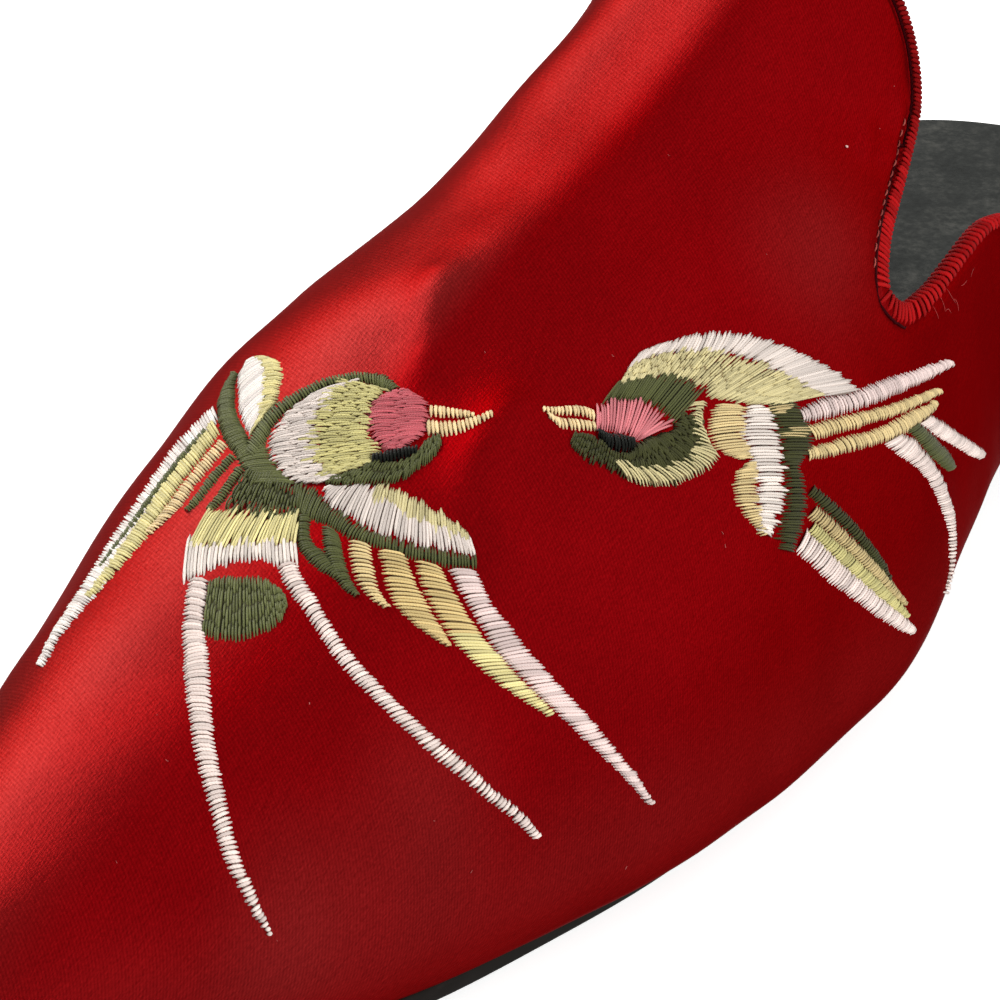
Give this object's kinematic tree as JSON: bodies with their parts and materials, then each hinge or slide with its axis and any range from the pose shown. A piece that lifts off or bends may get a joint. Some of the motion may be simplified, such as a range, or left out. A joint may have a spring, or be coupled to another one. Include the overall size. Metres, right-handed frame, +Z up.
{
  "type": "pointed toe flat mule",
  "caption": "Backless pointed-toe flat for the left foot, with a tall notched tongue, hollow satin upper, leather insole, thin sole and low heel block.",
  "frame": {"origin": "centre of the bounding box on the floor, under the middle of the shoe", "axes": "toe towards -Y, outer side of the left foot towards +X, +Z up"},
  "size_m": [0.082, 0.262, 0.0823],
  "materials": {
    "sole": "matt black, thin and flexible",
    "heel_block": "matt black block",
    "insole_leather": "black smooth leather with dusty wear",
    "upper_satin": "deep red satin with coloured thread embroidery"
  },
  "bodies": {
    "root": {"outsole": "sole", "heel": "heel_block", "insole": "insole_leather", "upper": "upper_satin"}
  },
  "joints": []
}
